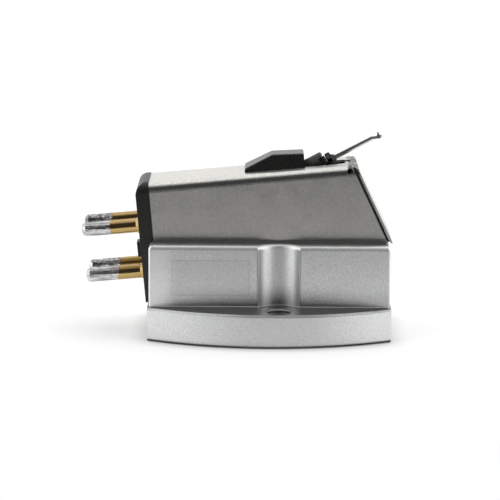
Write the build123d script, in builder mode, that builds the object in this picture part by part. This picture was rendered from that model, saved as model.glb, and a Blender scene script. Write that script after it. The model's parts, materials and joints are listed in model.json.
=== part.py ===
"""Moving-coil phono cartridge, standing on its mounting face with the stylus up. Millimetres.

The origin lies midway between the two mounting screws, on the mounting face. +X points to the
stylus, +Z away from the headshell. Cover, terminal plate and pins share a frame tilted about Y.
"""

import os
from math import cos, degrees, radians, sin, sqrt, tan

from build123d import *

# Mounting block: a machined bar on a flange with bowed sides
screw_spacing = 12.7
screw_bore_radius = 1.03
screw_mouth_chamfer = 0.12
flange_rear = -11.5
flange_length = 21.35
flange_thickness = 2.95
flange_side_margin = 1.65
flange_end_margin = 0.12
flange_top_round = 0.22
flange_foot_chamfer = 0.2
block_height = 5.5
block_side_round = 0.18
block_top_round = 0.4
groove_setback = 1.4
groove_half_width = 1.8

# Housing cover: one folded sheet, tilted with the terminal plate
housing_tilt = 5.2
cover_ledge = 1.65
cover_rear_height = 5.17
cover_sheet = 0.18
cover_bend = 0.85
cover_front_bend = 0.5
cover_front_lean = 25.5
cover_front_overhang = 0.27
cover_seam = 0.22
cover_seam_drop = 0.12
relief_radius = 0.26
relief_setback = 0.62
relief_rise = 0.18
relief_lean = 22.0
window_half_width = 1.22
bay_half_width = 1.02
bay_front_land = 0.38

# Terminal plate and its four pins
plate_recess = 0.4
plate_thickness = 1.22
plate_side_inset = 0.08
plate_top_rise = 0.1
plate_top_round = 0.95
plate_rear_round = 1.1
plug_depth = 0.8
rib_height = 1.35
rib_half_width = 0.7
rib_proud = 0.45
rib_drop = 0.36
pin_row_spacing = 4.12
pin_column_spacing = 3.8
pin_rows_below_seat = 0.72
pin_radius = 0.62
pin_length = 5.06
pin_tip_length = 0.32
pin_tip_step = 0.1
pin_tip_step_radius = 0.51
pin_tip_flat_radius = 0.3
pin_collar_radius = 0.74
pin_collar_length = 0.26
pin_shank_radius = 0.45
pin_tail_length = 1.1
tail_pocket_depth = 3.8
tail_pocket_margin = 0.75

# Generator carrier: a black moulding that stands through the window
carrier_half_width = 1.6
carrier_length = 5.28
carrier_setback = 4.52
carrier_rear_height = 0.33
carrier_slope_length = 2.5
carrier_peak_height = 1.33
carrier_front_height = 1.21
carrier_draft = 0.4
carrier_edge = 0.07

# Generator on the cantilever's axis
axis_angle = 22.9
axis_rise = 0.07
nose_reach = 1.88
pole_radius = 1.06
pole_length = 3.4
pole_edge = 0.1
pole_lip = 0.34
pole_slot_depth = 0.36
magnet_length = 2.6
magnet_half_height = 1.25
magnet_half_width = 1.15
yoke_thickness = 0.7
yoke_half_width = 1.1
yoke_drop = 2.3
yoke_reach = 1.15
yoke_gap = 0.85
yoke_plate_step = 0.32
yoke_plate_start = 1.08
wire_radius = 0.05
wire_bore_radius = 0.12
set_screw_radius = 0.45
set_screw_length = 0.8
set_screw_setback = 2.4
set_screw_slot = 0.16

# Moving system, measured along the axis from the pole's front face
damper_recess = 0.44
damper_radius = 0.6
damper_thickness = 0.56
armature_thickness = 0.2
arm_half_width = 0.16
arm_reach = 0.64
coil_wall = 0.13
coil_edge = 0.07
hub_radius = 0.28
hub_flare_radius = 0.46
hub_length = 0.46
cantilever_root_radius = 0.21
cantilever_end_radius = 0.17
cantilever_bore_radius = 0.1
cantilever_length = 4.14
toe_length = 0.86
toe_drop = 16.8
toe_half_width = 0.21
toe_thickness = 0.2
stylus_half_width = 0.075
stylus_below = 0.05
stylus_above = 0.38
stylus_point = 0.16
stylus_inset = 0.34

# Leads from the coils to the pins
lead_radius = 0.05
lead_sides = 6
lead_spread = 0.3
lead_step = 0.15
lead_bend = 0.7
lead_tail_run = 1.05

# Clearances
slip_fit = 0.03
running_gap = 0.1
moving_gap = 0.065
solder_gap = 0.02
cut_margin = 1.0
cut_overlap = 0.25

# Sizes that follow from the ones above
screw_y = screw_spacing / 2
groove_radius = sqrt(groove_setback**2 + groove_half_width**2)
block_half = screw_y - groove_setback
flange_front = flange_rear + flange_length
flange_middle = flange_rear + flange_length / 2
flange_half = screw_y + flange_side_margin
flange_end_half = block_half + flange_top_round + flange_end_margin
block_rear = flange_rear + flange_end_margin
block_front = flange_front - flange_end_margin
block_top = flange_thickness + block_height

cover_half = block_half - cover_ledge
cover_inner_half = cover_half - cover_sheet
seat_x = block_rear + plate_recess
tilt = radians(housing_tilt)
front_lean = radians(cover_front_lean)
housing_side = Plane((seat_x, 0, block_top), x_dir=(cos(tilt), 0, sin(tilt)), z_dir=(0, -1, 0))
housing_rear = Plane((seat_x, 0, block_top), x_dir=(0, -1, 0), z_dir=(-cos(tilt), 0, -sin(tilt)))


def in_housing(along, up):
    """A point of the middle plane, from its place along and above the tilted housing's seat."""
    return housing_side.from_local_coords(Vector(along, up, 0))


# The cover's corners in the middle plane
cover_foot_rear = Vector(seat_x, 0, block_top)
cover_foot_front = Vector(block_front + cover_front_overhang, 0, block_top)
foot_local = housing_side.to_local_coords(cover_foot_front)
cover_lean = front_lean - tilt
cover_length = foot_local.X - (cover_rear_height - foot_local.Y) * tan(cover_lean)

# The stylus face, and the bay in it ahead of the pole
stylus_face = Plane(in_housing(0, cover_rear_height), x_dir=housing_side.x_dir, z_dir=housing_side.y_dir)
carrier_front = cover_length - carrier_setback
pole_clear = carrier_front + nose_reach + pole_slot_depth
bay_centre = cover_length - bay_front_land - bay_half_width
carrier_rear = carrier_front - carrier_length
plate_half = cover_half - plate_side_inset

# The generator's axis starts at the centre of the pole's front face
axis_tilt = tilt + radians(axis_angle)
pole_face = in_housing(carrier_front + nose_reach, cover_rear_height + axis_rise)
axis_way = Vector(cos(axis_tilt), 0, sin(axis_tilt))
axis_up = Vector(-sin(axis_tilt), 0, cos(axis_tilt))
axis_side = Plane(pole_face, x_dir=axis_way, z_dir=(0, -1, 0))

pivot_along = damper_thickness / 2 - damper_recess
coil_start = damper_thickness - damper_recess + moving_gap
arm_start = coil_start + coil_wall
arm_end = arm_start + armature_thickness
hub_end = arm_end + hub_length
coil_inner = arm_half_width + coil_wall + slip_fit
coil_length = arm_reach - coil_inner
flare_start = arm_end + coil_wall + solder_gap


def on_axis(along, up=0.0, across=0.0):
    """A point from its place along, above and beside the generator's axis."""
    return pole_face + axis_way * along + axis_up * up + Vector(0, across, 0)


def across_axis(along):
    """A plane square to the generator's axis, with its normal pointing to the stylus."""
    return Plane(on_axis(along), x_dir=(0, -1, 0), z_dir=axis_way)


# Mounting block
with BuildPart() as mounting_block:
    with BuildSketch(Plane.XY.offset(flange_thickness)):
        with Locations(((block_rear + block_front) / 2, 0)):
            Rectangle(block_front - block_rear, 2 * block_half)
        with GridLocations(0, screw_spacing, 1, 2):
            Circle(groove_radius, mode=Mode.SUBTRACT)
    extrude(amount=block_height)
    fillet(mounting_block.edges().filter_by(Axis.Z), block_side_round)
    block_rim = mounting_block.faces().sort_by(Axis.Z)[-1].outer_wire()
    fillet(block_rim.edges(), block_top_round)
    with BuildSketch(Plane.XY):
        with BuildLine():
            far_side = ThreePointArc(
                (flange_rear, flange_end_half),
                (flange_middle, flange_half),
                (flange_front, flange_end_half),
            )
            near_side = ThreePointArc(
                (flange_front, -flange_end_half),
                (flange_middle, -flange_half),
                (flange_rear, -flange_end_half),
            )
            Line(far_side @ 1, near_side @ 0)
            Line(near_side @ 1, far_side @ 0)
        make_face()
    extrude(amount=flange_thickness)
    bowed = mounting_block.edges().filter_by(GeomType.CIRCLE).filter_by(lambda e: e.radius > flange_half)
    fillet(bowed.group_by(Axis.Z)[-1], flange_top_round)
    chamfer(mounting_block.edges().filter_by(GeomType.CIRCLE).group_by(Axis.Z)[0], flange_foot_chamfer)
    with BuildSketch(Plane.XY):
        with GridLocations(0, screw_spacing, 1, 2):
            Circle(screw_bore_radius)
    extrude(amount=flange_thickness, mode=Mode.SUBTRACT)
    bores = mounting_block.edges().filter_by(GeomType.CIRCLE)
    chamfer(bores.filter_by(lambda e: abs(e.radius - screw_bore_radius) < 1e-6), screw_mouth_chamfer)
    # Seat of the terminal plate, cut into the block's rear end at the housing's tilt
    plate_foot_x = seat_x + block_height * tan(tilt)
    past_top = block_top + cut_margin
    with BuildSketch(Plane.XZ):
        with BuildLine():
            Polyline(
                (plate_foot_x, flange_thickness),
                (flange_rear - cut_margin, flange_thickness),
                (flange_rear - cut_margin, past_top),
                (seat_x - cut_margin * tan(tilt), past_top),
                close=True,
            )
        make_face()
    extrude(amount=plate_half + slip_fit, both=True, mode=Mode.SUBTRACT)
    # Pocket in front of the plate, for the pins' tails and their leads
    pocket_depth = pin_rows_below_seat + pin_row_spacing / 2 + tail_pocket_margin
    pocket_half = pin_column_spacing / 2 + tail_pocket_margin
    with BuildSketch(housing_side):
        with BuildLine():
            Polyline(
                (-cut_overlap, -pocket_depth),
                (tail_pocket_depth, -pocket_depth),
                (tail_pocket_depth, cut_margin),
                (-cut_overlap, cut_margin),
                close=True,
            )
        make_face()
    extrude(amount=pocket_half, both=True, mode=Mode.SUBTRACT)
mounting_block.part.label = "mounting_block"

# The hollow of the housing cover, with the bends' inner radius
sheet_slant = cover_sheet / cos(cover_lean)
inner_top = cover_rear_height - cover_sheet
inner_corner = cover_length - sheet_slant + cover_sheet * tan(cover_lean)
foot_fall = cut_margin + abs(foot_local.Y)
inner_foot = cover_length - sheet_slant + (cover_rear_height + foot_fall) * tan(cover_lean)
with BuildPart() as cover_hollow:
    with BuildSketch(housing_side):
        with BuildLine():
            Polyline(
                (-cut_margin, -foot_fall),
                (-cut_margin, inner_top),
                (inner_corner, inner_top),
                (inner_foot, -foot_fall),
                close=True,
            )
        make_face()
    extrude(amount=cover_inner_half, both=True)
    hollow_top = cover_hollow.faces().sort_by(Axis(cover_foot_rear, housing_side.y_dir))[-1]
    along_bends = hollow_top.edges().filter_by(Axis(cover_foot_rear, housing_side.x_dir))
    fillet(along_bends, cover_bend - cover_sheet)

# Housing cover
with BuildPart() as housing_cover:
    with BuildSketch(housing_side):
        with BuildLine():
            Polyline(
                (0, 0),
                (0, cover_rear_height),
                (cover_length, cover_rear_height),
                (foot_local.X, foot_local.Y),
                close=True,
            )
        make_face()
        fillet(vertices().group_by(Axis.Y)[-1].sort_by(Axis.X)[-1], cover_front_bend)
    extrude(amount=cover_half, both=True)
    # The bends along its sides stop at the front panel, whose side edges stay sharp
    with BuildSketch(housing_rear):
        with Locations((0, (cover_rear_height - foot_fall) / 2)):
            Rectangle(2 * cover_half, cover_rear_height + foot_fall)
        fillet(vertices().group_by(Axis.Y)[-1], cover_bend)
    extrude(amount=-(foot_local.X + cut_margin), mode=Mode.INTERSECT)
    add(cover_hollow.part, mode=Mode.SUBTRACT)
    # Seams between the front panel and the side panels, up to the front fold
    seam_slant = cover_seam / cos(cover_lean)
    seam_top = cover_rear_height - cover_seam_drop
    seam_head = inner_corner + (inner_top - seam_top) * tan(cover_lean)
    for side in (-1, 1):
        with BuildSketch(housing_side.offset(side * (cover_half - cover_bend))):
            with BuildLine():
                Polyline(
                    (seam_head, seam_top),
                    (seam_head - seam_slant, seam_top),
                    (inner_foot - seam_slant, -foot_fall),
                    (inner_foot, -foot_fall),
                    close=True,
                )
            make_face()
        extrude(amount=side * (cover_bend + cut_margin), mode=Mode.SUBTRACT)
    # Round reliefs where the bend lines cross
    for side in (-1, 1):
        spot = in_housing(cover_length - relief_setback, cover_rear_height - cover_bend + relief_rise)
        spot = spot + Vector(0, side * (cover_half - cover_bend), 0)
        outward = Vector(0, side, 0) + housing_side.y_dir * tan(radians(relief_lean))
        with BuildSketch(Plane(spot, z_dir=outward)):
            Circle(relief_radius)
        extrude(amount=cover_bend + cut_margin, mode=Mode.SUBTRACT)
    # Window for the carrier, with a round-ended bay under the cantilever
    with BuildSketch(stylus_face):
        with Locations(((carrier_rear + carrier_front) / 2, 0)):
            Rectangle(carrier_length + 2 * slip_fit, 2 * (carrier_half_width + slip_fit))
        with Locations(((carrier_front + pole_clear) / 2, 0)):
            Rectangle(pole_clear - carrier_front, 2 * window_half_width)
        with Locations(((pole_clear + bay_centre) / 2, 0)):
            Rectangle(bay_centre - pole_clear, 2 * bay_half_width)
        with Locations((bay_centre, 0)):
            Circle(bay_half_width)
    extrude(amount=-(cover_sheet + cover_bend), mode=Mode.SUBTRACT)
housing_cover.part.label = "housing_cover"

# Terminal plate
plate_low = (block_height - plate_thickness * sin(tilt) - slip_fit) / cos(tilt)
plate_top = cover_rear_height + plate_top_rise
plug_top = cover_rear_height - cover_sheet - slip_fit
plug_half = cover_inner_half - slip_fit
pin_places = {
    "left_live": (-1, 1),
    "left_ground": (-1, -1),
    "right_live": (1, 1),
    "right_ground": (1, -1),
}


def pin_place(column, row):
    """Where a pin crosses the plate, across and up from the plate's seat."""
    return (column * pin_column_spacing / 2, row * pin_row_spacing / 2 - pin_rows_below_seat)


with BuildPart() as terminal_plate:
    with BuildSketch(housing_rear):
        with Locations((0, (plate_top - plate_low) / 2)):
            Rectangle(2 * plate_half, plate_top + plate_low)
        fillet(vertices().group_by(Axis.Y)[-1], plate_top_round)
    extrude(amount=plate_thickness)
    # The rear of its top edge is rounded straight across
    with BuildSketch(housing_side):
        with Locations((-plate_thickness / 2, (plate_top - plate_low) / 2)):
            Rectangle(plate_thickness, plate_top + plate_low)
        fillet(vertices().group_by(Axis.Y)[-1].sort_by(Axis.X)[0], plate_rear_round)
    extrude(amount=plate_half, both=True, mode=Mode.INTERSECT)
    with BuildSketch(housing_rear.offset(plate_thickness)):
        with Locations((0, -pin_rows_below_seat - rib_drop)):
            Rectangle(2 * rib_half_width, rib_height)
    extrude(amount=rib_proud)
    with BuildSketch(housing_rear):
        with Locations((0, plug_top / 2 + slip_fit)):
            Rectangle(2 * plug_half, plug_top - 2 * slip_fit)
        fillet(vertices().group_by(Axis.Y)[-1], cover_bend - cover_sheet)
    extrude(amount=-plug_depth)
    with BuildSketch(housing_rear.offset(plate_thickness + rib_proud)):
        with Locations(*[pin_place(*place) for place in pin_places.values()]):
            Circle(pin_shank_radius)
    extrude(amount=-(plate_thickness + rib_proud + plug_depth), mode=Mode.SUBTRACT)
terminal_plate.part.label = "terminal_plate"


def turned_pin(column, row):
    """One gold-plated pin: shank through the plate, flared collar and rounded rod."""
    across, up = pin_place(column, row)
    rear = housing_rear.offset(plate_thickness)
    root = rear.from_local_coords(Vector(across, up, 0))
    turning = Plane(root, x_dir=rear.z_dir, z_dir=(0, -1, 0))
    with BuildPart() as pin:
        with BuildSketch(turning):
            with BuildLine():
                Polyline(
                    (pin_length, 0),
                    (pin_length, pin_tip_flat_radius),
                    (pin_length - pin_tip_step, pin_tip_step_radius),
                    (pin_length - pin_tip_length, pin_radius),
                    (pin_collar_length, pin_radius),
                    (0, pin_collar_radius),
                    (0, pin_shank_radius),
                    (-plate_thickness - plug_depth - pin_tail_length, pin_shank_radius),
                    (-plate_thickness - plug_depth - pin_tail_length, 0),
                    close=True,
                )
            make_face()
        revolve(axis=Axis(root, rear.z_dir))
    return pin.part


pins = {}
for pin_name, place in pin_places.items():
    pins[pin_name] = turned_pin(*place)
    pins[pin_name].label = f"pin_{pin_name}"

# Generator carrier
with BuildPart() as generator_carrier:
    hump_top = cover_rear_height
    with BuildSketch(housing_side):
        with BuildLine():
            foot_rear = (carrier_rear, -carrier_rear * tan(tilt))
            foot_front = (carrier_front, -carrier_front * tan(tilt))
            Polyline(
                foot_rear,
                (carrier_rear, hump_top + carrier_rear_height),
                (carrier_rear + carrier_slope_length, hump_top + carrier_peak_height),
                (carrier_front, hump_top + carrier_front_height),
                foot_front,
                close=True,
            )
        make_face()
    extrude(amount=carrier_half_width, both=True)
    # Its side walls lean in above the cover
    past_peak = carrier_peak_height + cut_margin
    wall_lean = carrier_draft / carrier_peak_height
    with BuildSketch(Plane(in_housing(carrier_rear, hump_top), x_dir=(0, 1, 0), z_dir=housing_side.x_dir)):
        for side in (-1, 1):
            with BuildLine():
                Polyline(
                    (side * carrier_half_width, 0),
                    (side * (carrier_half_width + cut_margin), past_peak),
                    (side * (carrier_half_width - wall_lean * past_peak), past_peak),
                    close=True,
                )
            make_face()
    extrude(amount=carrier_length, mode=Mode.SUBTRACT)
    hump_edges = generator_carrier.faces().sort_by(Axis(cover_foot_rear, housing_side.y_dir))[-2:].edges()
    chamfer(hump_edges, carrier_edge)
    # Bore of the pole and pockets of the magnet and the yoke, on the generator's axis
    with BuildSketch(across_axis(nose_reach)):
        Circle(pole_radius + slip_fit)
    extrude(amount=-(nose_reach + pole_length), mode=Mode.SUBTRACT)
    with BuildSketch(axis_side):
        with Locations((-pole_length - magnet_length / 2, 0)):
            Rectangle(magnet_length, 2 * (magnet_half_height + slip_fit))
    extrude(amount=magnet_half_width + slip_fit, both=True, mode=Mode.SUBTRACT)
    yoke_rear = -pole_length - magnet_length - yoke_thickness - slip_fit
    yoke_low = -yoke_drop - yoke_thickness - slip_fit
    with BuildSketch(axis_side):
        with BuildLine():
            Polyline(
                (yoke_rear, magnet_half_height + slip_fit),
                (yoke_rear, yoke_low),
                (nose_reach + cut_margin, yoke_low),
                (nose_reach + cut_margin, -yoke_drop + slip_fit),
                (-pole_length - magnet_length, -yoke_drop + slip_fit),
                (-pole_length - magnet_length, magnet_half_height + slip_fit),
                close=True,
            )
        make_face()
    extrude(amount=yoke_half_width + slip_fit, both=True, mode=Mode.SUBTRACT)
    with BuildSketch(Plane(on_axis(-set_screw_setback), z_dir=-axis_up)):
        Circle(set_screw_radius + slip_fit)
    extrude(amount=yoke_drop + cut_overlap, mode=Mode.SUBTRACT)
generator_carrier.part.label = "generator_carrier"

# Magnet
with BuildPart() as magnet:
    with BuildSketch(axis_side):
        with Locations((-pole_length - magnet_length / 2, 0)):
            Rectangle(magnet_length, 2 * magnet_half_height)
    extrude(amount=magnet_half_width, both=True)
    chamfer(magnet.edges().filter_by(Plane(pole_face, z_dir=axis_way)), carrier_edge)
magnet.part.label = "magnet"

# Yoke: a bent strap from the magnet's rear, under the pole, up to the front pole tip
with BuildPart() as yoke:
    with BuildSketch(axis_side):
        with BuildLine():
            Polyline(
                (-pole_length - magnet_length, magnet_half_height),
                (-pole_length - magnet_length, -yoke_drop),
                (yoke_reach - yoke_thickness, -yoke_drop),
                (yoke_reach - yoke_thickness, -yoke_gap),
                (yoke_reach, -yoke_gap),
                (yoke_reach, -yoke_drop - yoke_thickness),
                (-pole_length - magnet_length - yoke_thickness, -yoke_drop - yoke_thickness),
                (-pole_length - magnet_length - yoke_thickness, magnet_half_height),
                close=True,
            )
        make_face()
    extrude(amount=yoke_half_width, both=True)
    outer_bends = yoke.edges().filter_by(Axis.Y).group_by(Axis(pole_face, axis_up))[0]
    fillet(outer_bends, yoke_thickness / 2)
    with BuildSketch(Plane(on_axis(-set_screw_setback), z_dir=-axis_up)):
        Circle(set_screw_radius + slip_fit)
    extrude(amount=yoke_drop + yoke_thickness + cut_margin, mode=Mode.SUBTRACT)
    # Front plate that fills the bay under the cantilever, a step below the cover
    plate_start = carrier_front + nose_reach + yoke_plate_start
    plate_half_width = bay_half_width - moving_gap
    with BuildSketch(stylus_face.offset(-yoke_plate_step)):
        with Locations(((plate_start + bay_centre) / 2, 0)):
            Rectangle(bay_centre - plate_start, 2 * plate_half_width)
        with Locations((bay_centre, 0)):
            Circle(plate_half_width)
        with Locations((plate_start - bay_half_width, 0)):
            Rectangle(2 * bay_half_width, 2 * bay_half_width, mode=Mode.SUBTRACT)
    extrude(amount=-yoke_thickness)
yoke.part.label = "yoke"

# Pole piece: a black sleeve on the axis, bored for the suspension wire and its screw
with BuildPart() as pole_piece:
    with BuildSketch(across_axis(0)):
        Circle(pole_radius)
        Circle(wire_bore_radius, mode=Mode.SUBTRACT)
    extrude(amount=-pole_length)
    rims = pole_piece.edges().filter_by(GeomType.CIRCLE).sort_by(SortBy.RADIUS)[-2:]
    chamfer(rims.sort_by(Axis(pole_face, axis_way))[-1], pole_edge)
    # Slot for the damper, open to both sides and below, under a lip
    with BuildSketch(axis_side):
        with BuildLine():
            Polyline(
                (-pole_slot_depth, pole_radius - pole_lip),
                (cut_margin, pole_radius - pole_lip),
                (cut_margin, -pole_radius - cut_margin),
                (-pole_slot_depth, -pole_radius - cut_margin),
                close=True,
            )
        make_face()
    extrude(amount=pole_radius + cut_margin, both=True, mode=Mode.SUBTRACT)
    # Round seat behind the damper
    with BuildSketch(across_axis(-damper_recess - running_gap)):
        Circle(damper_radius + running_gap)
    extrude(amount=damper_recess + running_gap - pole_slot_depth, mode=Mode.SUBTRACT)
    with BuildSketch(Plane(on_axis(-set_screw_setback), z_dir=-axis_up)):
        Circle(set_screw_radius + slip_fit)
    extrude(amount=pole_radius + cut_overlap, mode=Mode.SUBTRACT)
pole_piece.part.label = "pole_piece"

# Suspension wire
wire_end = arm_start
with BuildPart() as suspension_wire:
    with BuildSketch(across_axis(wire_end)):
        Circle(wire_radius)
    extrude(amount=-(wire_end + pole_length - slip_fit))
suspension_wire.part.label = "suspension_wire"

# Set screw that clamps the wire
with BuildPart() as set_screw:
    screw_plane = Plane(on_axis(-set_screw_setback, -wire_radius - slip_fit), x_dir=axis_way, z_dir=-axis_up)
    with BuildSketch(screw_plane):
        Circle(set_screw_radius)
    extrude(amount=set_screw_length)
    with BuildSketch(screw_plane.offset(set_screw_length)):
        Rectangle(2 * set_screw_radius + cut_margin, set_screw_slot)
    extrude(amount=-set_screw_slot, mode=Mode.SUBTRACT)
set_screw.part.label = "set_screw"

# Damper ring
with BuildPart() as damper_ring:
    with BuildSketch(across_axis(-damper_recess)):
        Circle(damper_radius)
        Circle(wire_bore_radius, mode=Mode.SUBTRACT)
    extrude(amount=damper_thickness)
damper_ring.part.label = "damper_ring"

# Armature: a four-armed former with the cantilever's hub
with BuildPart() as armature:
    with BuildSketch(across_axis(arm_start)):
        for turn in (45, 135):
            with Locations(Rotation(0, 0, turn)):
                Rectangle(2 * arm_reach, 2 * arm_half_width)
    extrude(amount=armature_thickness)
    with BuildSketch(axis_side):
        with BuildLine():
            Polyline(
                (arm_start, 0),
                (arm_start, hub_radius),
                (flare_start, hub_radius),
                (flare_start, hub_flare_radius),
                (hub_end, hub_radius),
                (hub_end, 0),
                close=True,
            )
        make_face()
    revolve(axis=Axis(pole_face, axis_way))
    with BuildSketch(across_axis(arm_end)):
        Circle(cantilever_root_radius)
    extrude(amount=hub_length, mode=Mode.SUBTRACT)
    with BuildSketch(across_axis(arm_start)):
        Circle(wire_bore_radius)
    extrude(amount=armature_thickness / 2, mode=Mode.SUBTRACT)
armature.part.label = "armature"


def wound_pair(turn):
    """One channel's winding: two wrapped arms on one diagonal of the former."""
    middle = arm_reach - coil_length / 2
    heart = on_axis(arm_start + armature_thickness / 2)
    arm_way = Vector(0, -cos(radians(turn)), 0) + axis_up * sin(radians(turn))
    with BuildPart() as winding:
        for end in (-middle, middle):
            with BuildSketch(Plane(heart + arm_way * end, x_dir=axis_way, z_dir=arm_way)):
                Rectangle(armature_thickness + 2 * coil_wall, 2 * (arm_half_width + coil_wall))
                chamfer(vertices(), coil_edge)
                Rectangle(armature_thickness, 2 * arm_half_width, mode=Mode.SUBTRACT)
            extrude(amount=coil_length / 2, both=True)
    return winding.part


coil_left = wound_pair(45)
coil_left.label = "coil_left"
coil_right = wound_pair(135)
coil_right.label = "coil_right"

# Cantilever: a tapered tube whose toe is flattened and bent towards the record
tube_start = arm_end + slip_fit
tube_finish = tube_start + cantilever_length
tube_end = on_axis(tube_finish)
toe_tilt = axis_tilt - radians(toe_drop)
toe_way = Vector(cos(toe_tilt), 0, sin(toe_tilt))
toe_up = Vector(-sin(toe_tilt), 0, cos(toe_tilt))
stylus_foot = tube_end + toe_way * (toe_length - stylus_inset)
stylus_plane = Plane(stylus_foot, x_dir=toe_way, z_dir=toe_up)
with BuildPart() as cantilever:
    with BuildSketch(axis_side):
        with BuildLine():
            Polyline(
                (tube_start, 0),
                (tube_start, cantilever_root_radius),
                (hub_end, cantilever_root_radius),
                (tube_finish, cantilever_end_radius),
                (tube_finish, 0),
                close=True,
            )
        make_face()
    revolve(axis=Axis(pole_face, axis_way))
    with BuildSketch(Plane(tube_end, x_dir=toe_way, z_dir=toe_up).offset(-toe_thickness / 2)):
        with Locations(((toe_length - toe_half_width) / 2, 0)):
            Rectangle(toe_length - toe_half_width, 2 * toe_half_width)
        with Locations((toe_length - toe_half_width, 0)):
            Circle(toe_half_width)
    extrude(amount=toe_thickness)
    with BuildSketch(across_axis(tube_start)):
        Circle(cantilever_bore_radius)
    extrude(amount=cantilever_length - 2 * toe_thickness, mode=Mode.SUBTRACT)
    with BuildSketch(stylus_plane.offset(-toe_thickness)):
        Rectangle(2 * stylus_half_width, 2 * stylus_half_width)
    extrude(amount=2 * toe_thickness, mode=Mode.SUBTRACT)
cantilever.part.label = "cantilever"

# Stylus: a square diamond shank through the toe, ground to a point
shank_low = -toe_thickness / 2 - stylus_below
shank_high = toe_thickness / 2 + stylus_above - stylus_point
with BuildPart() as stylus:
    with BuildSketch(stylus_plane.offset(shank_low)):
        Rectangle(2 * stylus_half_width, 2 * stylus_half_width)
    extrude(amount=shank_high - shank_low)
    with BuildSketch(stylus_plane.offset(shank_high)):
        Rectangle(2 * stylus_half_width, 2 * stylus_half_width)
    with BuildSketch(stylus_plane.offset(shank_high + stylus_point)):
        Rectangle(stylus_half_width / 4, stylus_half_width / 4)
    loft()
stylus.part.label = "stylus"


def coil_lead(column, row):
    """One lead: from beside the pole, along the carrier's flank, to the tail of its pin."""
    across, up = pin_place(column, row)
    side = -column
    flank = side * (carrier_half_width + lead_spread)
    step = lead_step * row
    tail = -plug_depth - pin_tail_length - solder_gap
    tail_end = housing_rear.from_local_coords(Vector(across, up, tail))
    tail_run = tail_end + Vector(cos(tilt), 0, sin(tilt)) * lead_tail_run
    start = on_axis(-running_gap, -pole_radius - lead_spread + step, side * pole_radius / 2)
    points = [
        start,
        on_axis(-nose_reach, -pole_radius - lead_spread + step, flank),
        in_housing(carrier_rear - lead_bend, cover_rear_height / 2 + step) + Vector(0, flank, 0),
        tail_run,
        tail_end,
    ]
    if row < 0:
        riser = tail_run + Vector(-sin(tilt), 0, cos(tilt)) * pin_row_spacing
        points.insert(-2, riser)
    with BuildPart() as lead:
        with BuildLine() as route:
            FilletPolyline(*points, radius=lead_bend)
        with BuildSketch(Plane(route.line @ 0, z_dir=route.line % 0)):
            RegularPolygon(lead_radius, lead_sides)
        sweep()
    return lead.part


leads = {}
for lead_name, place in pin_places.items():
    leads[lead_name] = coil_lead(*place)
    leads[lead_name].label = f"lead_{lead_name}"

pieces = [
    mounting_block.part,
    housing_cover.part,
    terminal_plate.part,
    *pins.values(),
    generator_carrier.part,
    magnet.part,
    yoke.part,
    pole_piece.part,
    suspension_wire.part,
    set_screw.part,
    damper_ring.part,
    armature.part,
    coil_left,
    coil_right,
    cantilever.part,
    stylus.part,
    *leads.values(),
]
os.makedirs("parts", exist_ok=True)
for piece in pieces:
    export_step(piece, f"parts/{piece.label}.step")

pivot = on_axis(pivot_along)
print("pivot", pivot, "axis", degrees(axis_tilt), "pole face", pole_face)
print("stylus tip", stylus_foot + toe_up * (toe_thickness / 2 + stylus_above))
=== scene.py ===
# %% [markdown]
# # A moving-coil phono cartridge
# The cartridge rests upside down on a white table: the mounting face is below and the stylus on top.
# Its solids come from CAD, in metres, and this lesson gives them their finishes and the small things
# that are easier to make here than in CAD. The solids are loaded first, because each later piece
# takes its place from them.

# %% Load the solids
import json
import math

import bmesh
import bpy
from mathutils import Matrix, Vector


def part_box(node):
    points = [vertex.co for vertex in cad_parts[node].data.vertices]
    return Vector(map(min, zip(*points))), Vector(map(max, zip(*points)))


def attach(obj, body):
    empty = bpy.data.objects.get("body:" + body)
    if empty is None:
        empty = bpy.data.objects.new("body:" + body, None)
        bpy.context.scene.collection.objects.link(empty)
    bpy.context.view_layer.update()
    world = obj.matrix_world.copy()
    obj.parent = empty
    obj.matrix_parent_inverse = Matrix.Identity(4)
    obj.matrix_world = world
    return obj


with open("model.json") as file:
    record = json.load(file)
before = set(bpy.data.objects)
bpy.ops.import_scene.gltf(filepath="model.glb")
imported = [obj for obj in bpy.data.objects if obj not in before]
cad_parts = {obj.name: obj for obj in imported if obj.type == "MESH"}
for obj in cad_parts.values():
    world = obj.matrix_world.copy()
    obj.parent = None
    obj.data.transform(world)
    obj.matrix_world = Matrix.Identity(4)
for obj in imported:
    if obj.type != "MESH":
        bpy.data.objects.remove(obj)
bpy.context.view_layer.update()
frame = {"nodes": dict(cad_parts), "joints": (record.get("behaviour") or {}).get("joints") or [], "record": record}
MM = 0.001

# %% [markdown]
# ## Camera
# The photograph was taken from low in front of the side, with a long lens, about 200 mm away.
# A camera can be turned by rotation angles, but a matrix of its right, up and back directions is
# plainer when the horizon leans a little, as it does here, because the lean is one rotation of two
# of those directions.

# %% Camera
VIEW_RISE = math.radians(11.6)
VIEW_LEAN = math.radians(0.36)
VIEW_DISTANCE = 200 * MM
VIEW_AIM = Vector((-2.535, 0, 7.1)) * MM
forward = Vector((0, math.cos(VIEW_RISE), -math.sin(VIEW_RISE)))
upward = Vector((0, math.sin(VIEW_RISE), math.cos(VIEW_RISE)))
level = Vector((1, 0, 0))
right = level * math.cos(VIEW_LEAN) + upward * math.sin(VIEW_LEAN)
up = upward * math.cos(VIEW_LEAN) - level * math.sin(VIEW_LEAN)
stand = VIEW_AIM - forward * VIEW_DISTANCE

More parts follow.
